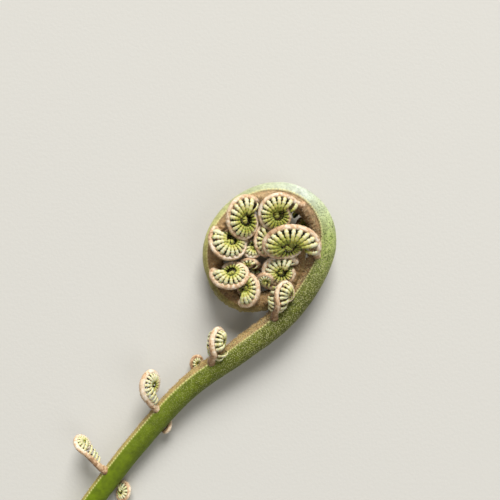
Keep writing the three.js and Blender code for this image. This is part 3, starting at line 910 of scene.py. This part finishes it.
# The stem's: how many are tried; where the wool sets in, past the flank line and along the stem;
# the stubble elsewhere; how they lean; and how long, tan and dark they are.
STEM_HAIRS = Values(
    count=70000, from_ends=1, wool=(0.3, -2), least_wool=0.2, wool_shares=(0.05, 0.3), stubble=0.12,
    stubble_shares=(0.2, 0.4), along=0.35, any_way=0.45, lengths=(0.35, 0.7), longer=(0.2, 0.8),
    tan=0.25, more_tan=0.55, dark=0.12, over_ground=0.1,
)
# The ribs': how many to a millimetre, counted by steps, and the shares of pale, tan and dark ones.
RIB_HAIRS = Values(
    per_mm=18, step=0.1, start=0.95, along=0.3, any_way=0.5, lengths=(0.4, 1.0),
    tones=(0.45, 0.45, 0.1), over_ground=1.2,
)


def add_hairs(skin, kept, *hairs):
    """Closed slivers of four faces, each from a small triangle sunk in the skin to one tip."""
    root, direction, length, slots = (values[kept] for values in hairs)
    direction = unit(direction)
    side = unit(np.cross(direction, rng.normal(size=direction.shape)))
    other = np.cross(direction, side)
    foot = root - direction * HAIR.sunk
    corners = [
        foot + HAIR.half_width * (side * math.cos(a) + other * math.sin(a))
        for a in (0, 2 * math.pi / 3, 4 * math.pi / 3)
    ]
    points = np.stack([*corners, root + direction * length[:, None]], axis=1)
    faces = np.array([[0, 2, 1], [0, 1, 3], [1, 2, 3], [2, 0, 3]])
    shift = 4 * np.arange(len(points))[:, None, None]
    skin.add(points, (faces + shift, np.repeat(slots, 4)))


def add_stem_hairs(skin, stem):
    """Tan wool on the stem's inner side, and sparse pale stubble on the rest."""
    h = STEM_HAIRS
    count = h.count
    at = rng.uniform(h.from_ends, stem.length - h.from_ends, count)
    angle = rng.uniform(-math.pi, math.pi, count)
    s = stem_skin(stem, at, angle)
    woolly = smooth(*h.wool, s.from_line)
    wool = woolly * rising(h.least_wool, *h.wool_shares, s.share)
    stubble = h.stubble * smooth(*h.stubble_shares, s.share)
    kept = rng.uniform(size=count) < np.maximum(wool, stubble)
    root, outward, along, woolly = s.point[kept], s.outward[kept], s.along[kept], woolly[kept]
    direction = outward + h.along * along + h.any_way * rng.normal(size=root.shape)
    length = rng.uniform(*h.lengths, len(root)) + woolly * rng.uniform(*h.longer, len(root))
    tip = root + unit(direction) * length[:, None]
    above = tip[:, 2] + COIL_CENTRE[2] > h.over_ground
    tan = rng.uniform(size=len(root)) < h.tan + h.more_tan * woolly
    slots = np.where(tan, HAIR_TAN, HAIR_PALE)
    slots[rng.uniform(size=len(root)) < h.dark] = HAIR_DARK
    add_hairs(skin, above, root, direction, length, slots)


def add_rib_hairs(skin, pinna):
    h = RIB_HAIRS
    places = pinna.places(h.step)
    rings_at = rng.uniform(0, len(places) - 1, int(h.per_mm * h.step * len(places)))
    places = np.interp(rings_at, np.arange(len(places)), places)
    f = pinna.frame(places)
    angle = rng.uniform(0, 2 * np.pi, len(places))[:, None]
    outward = f.sideways * np.cos(angle) + f.across * np.sin(angle)
    root = f.point + outward * pinna.rib_radius(places)[:, None] * h.start
    direction = outward + h.along * f.along + h.any_way * rng.normal(size=root.shape)
    length = rng.uniform(*h.lengths, len(root)) * np.sqrt(f.scale)
    slots = rng.choice([HAIR_PALE, HAIR_TAN, HAIR_DARK], len(root), p=h.tones)
    above = root[:, 2] + COIL_CENTRE[2] > h.over_ground
    add_hairs(skin, above, root, direction, length, slots)


# Materials.


def set_inputs(node, values):
    for name, value in values.items():
        node.inputs[name].default_value = value


def new_material(name, colour, roughness, bump, grain, sheen=0.0, soft=0.0):
    """A material with fine bump. Grain is the size of the bumps in millimetres."""
    material = bpy.data.materials.new(name)
    material.use_nodes = True
    nodes, links = material.node_tree.nodes, material.node_tree.links
    shader = nodes["Principled BSDF"]
    if colour is not None:
        set_inputs(shader, {"Base Color": rgba(colour)})
    set_inputs(shader, {"Roughness": roughness, "Sheen Weight": sheen, "Sheen Roughness": 0.4})
    set_inputs(shader, {"Subsurface Weight": soft, "Subsurface Scale": 1.2 * MM})
    place = nodes.new("ShaderNodeTexCoord")
    fine = nodes.new("ShaderNodeTexNoise")
    set_inputs(fine, {"Scale": 1 / (grain * MM), "Detail": 3})
    height = nodes.new("ShaderNodeBump")
    set_inputs(height, {"Strength": bump, "Distance": grain * MM})
    links.new(place.outputs["Object"], fine.inputs["Vector"])
    links.new(fine.outputs["Fac"], height.inputs["Height"])
    links.new(height.outputs["Normal"], shader.inputs["Normal"])
    return material


def speckle(material, before, share, colour, size, spread, most):
    """Mixes in small specks of a colour, that far apart, as strong as most times the share."""
    nodes, links = material.node_tree.nodes, material.node_tree.links
    cells = nodes.new("ShaderNodeTexVoronoi")
    set_inputs(cells, {"Scale": 1 / (spread * MM)})
    place = next(n for n in nodes if n.type == "TEX_COORD")
    links.new(place.outputs["Object"], cells.inputs["Vector"])
    mask = nodes.new("ShaderNodeMapRange")
    set_inputs(mask, {"From Min": size, "From Max": SPECKLED.core * size, "To Max": most})
    links.new(cells.outputs["Distance"], mask.inputs["Value"])
    strength = nodes.new("ShaderNodeMath")
    strength.operation = "MULTIPLY"
    links.new(mask.outputs["Result"], strength.inputs[0])
    links.new(share, strength.inputs[1])
    mix = nodes.new("ShaderNodeMix")
    mix.data_type = "RGBA"
    links.new(strength.outputs["Value"], mix.inputs["Factor"])
    links.new(before, mix.inputs["A"])
    set_inputs(mix, {"B": rgba(colour)})
    return mix.outputs["Result"]


def stem_material():
    material = new_material("stem_skin", None, roughness=0.62, bump=0.35, grain=0.5)
    nodes, links = material.node_tree.nodes, material.node_tree.links
    set_inputs(nodes["Principled BSDF"], {"Specular IOR Level": 0.25})
    tone = nodes.new("ShaderNodeVertexColor")
    tone.layer_name = "tone"
    colour = tone.outputs["Color"]
    for specks in SPECKS:
        colour = speckle(material, colour, tone.outputs["Alpha"], **specks)
    links.new(colour, nodes["Principled BSDF"].inputs["Base Color"])
    return material


def toned_materials(name, tones, **looks):
    return [new_material(f"{name}_{k}", tone, **looks) for k, tone in enumerate(tones, 1)]


def rib_materials():
    tones = [*RIB_TONES, HUB_RIB_TONE]
    return toned_materials("rib", tones, roughness=0.75, bump=0.5, grain=0.35, sheen=0.25)


def pinnule_materials():
    tones = [*PINNULE_TONES, SHADED_UNDERSIDE_TONE, PINNULE_FOOT_TONE]
    looks = dict(roughness=0.5, bump=0.35, grain=0.3, sheen=0.1, soft=0.15)
    return toned_materials("pinnule", tones, **looks)


def hair_materials():
    return toned_materials("hair", HAIR_TONES, roughness=0.7, bump=0.1, grain=0.2, sheen=0.3)


# The whole frond.


def make_frond():
    stem = Stem()
    groups = all_pinnae(stem)
    pinnae = [pinna for group in groups.values() for pinna in group]
    stem_nodes = [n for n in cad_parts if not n.startswith("pinna")]
    make_stem(stem, stem_material(), stem_nodes)

    ribs, pinnules, hairs = rib_materials(), pinnule_materials(), hair_materials()
    for name, group in groups.items():
        slot = "young_pinnae" if name.startswith("inner") else "pinnae"
        rib_skin, pinnule_skin = Skin(), Skin()
        for pinna in group:
            add_rib(rib_skin, pinna)
            add_pinnules(pinnule_skin, pinna, limbs_near(pinna, stem, pinnae))
        rib_skin.piece(f"ribs_{name}", ribs, slot, [pinna.node for pinna in group])
        pinnule_skin.piece(f"pinnules_{name}", pinnules, slot)

    wool = Skin()
    add_stem_hairs(wool, stem)
    wool.piece("stem_wool", hairs, "coil_skin")
    wool = Skin()
    for pinna in pinnae:
        add_rib_hairs(wool, pinna)
    wool.piece("rib_wool", hairs, "pinnae")


# The floor, the lights and the camera.


def make_floor():
    half = FLOOR.half_width
    corners = [(-half, -half, 0), (half, -half, 0), (half, half, 0), (-half, half, 0)]
    mesh = bpy.data.meshes.new("floor")
    mesh.from_pydata(corners, [], [(0, 1, 2, 3)])
    floor = bpy.data.objects.new("floor", mesh)
    floor.data.materials.append(new_material("floor", FLOOR.tone, roughness=0.9, bump=0.05, grain=2))
    bpy.context.scene.collection.objects.link(floor)


def add_light(name, place, power, size):
    """A square area light, in metres and watts, that faces the middle of the frond."""
    data = bpy.data.lights.new(name, "AREA")
    data.energy = power
    data.size = size
    light = bpy.data.objects.new(name, data)
    light.location = place
    light.rotation_euler = (-Vector(place)).to_track_quat("-Z", "Y").to_euler()
    bpy.context.scene.collection.objects.link(light)


def make_stage():
    make_floor()
    for name, light in LIGHTS.items():
        add_light(name, **light)
    world = bpy.data.worlds.new("studio")
    world.use_nodes = True
    background = world.node_tree.nodes["Background"]
    set_inputs(background, {"Color": (*WORLD.colour, 1), "Strength": WORLD.strength})
    scene = bpy.context.scene
    scene.world = world
    scene.view_settings.view_transform = "Standard"

    lens = bpy.data.cameras.new("camera")
    lens.sensor_fit = "HORIZONTAL"
    lens.angle = 2 * math.atan(CAMERA.field / 2 / CAMERA.distance)
    camera = bpy.data.objects.new("camera", lens)
    over = COIL_CENTRE + np.array([*CAMERA.off_centre, CAMERA.distance])
    camera.location = Vector(over * MM)
    scene.collection.objects.link(camera)
    scene.camera = camera


make_frond()
make_stage()
